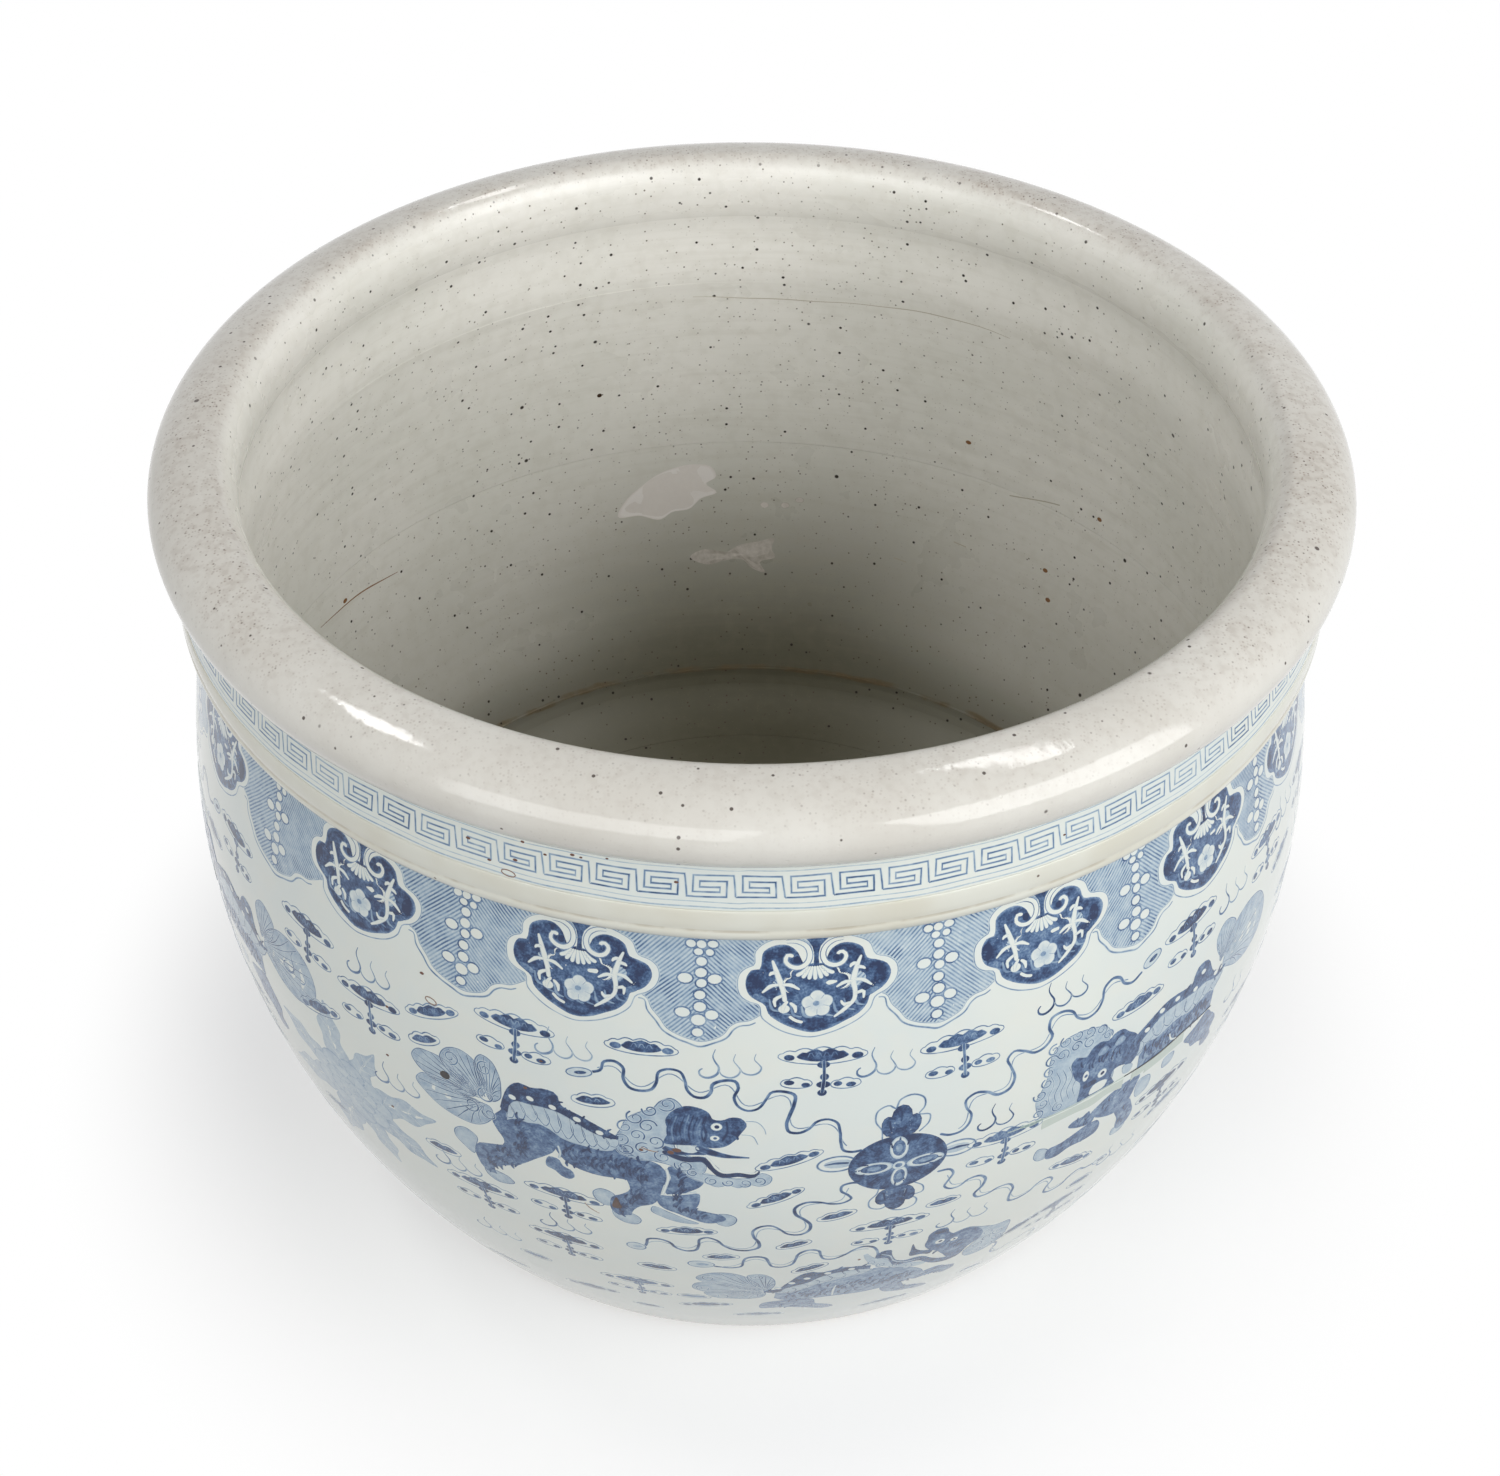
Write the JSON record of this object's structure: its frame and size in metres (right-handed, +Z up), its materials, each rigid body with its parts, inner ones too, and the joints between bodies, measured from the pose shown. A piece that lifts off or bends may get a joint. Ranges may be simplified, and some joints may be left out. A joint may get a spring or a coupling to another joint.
{
  "type": "fish bowl jardiniere",
  "caption": "Large round porcelain fish bowl with a heavy rolled rim, a moulded neck and a swelling body on a flat foot, painted in underglaze blue.",
  "frame": {"origin": "centre of the foot, on the plane that the bowl stands on", "axes": "+Z up along the axis of the bowl, -Y towards the side shown in the picture"},
  "size_m": [0.6158, 0.6158, 0.458],
  "materials": {
    "pale_glaze": "glossy bluish white porcelain glaze over underglaze blue painting",
    "rim_glaze": "glossy warm grey glaze with fine brown iron specks",
    "cream_glaze": "glossy cream white glaze",
    "inner_glaze": "thin grey green glaze with specks, scratches and water stains",
    "cobalt_blue": "underglaze cobalt painting, glossy"
  },
  "bodies": {
    "root": {"base_slab": "inner_glaze", "corner_coil": "inner_glaze", "lower_wall": "pale_glaze", "upper_wall": "pale_glaze", "shoulder_rib": "cream_glaze", "neck_band": "pale_glaze", "rolled_rim": "rim_glaze"}
  },
  "joints": []
}
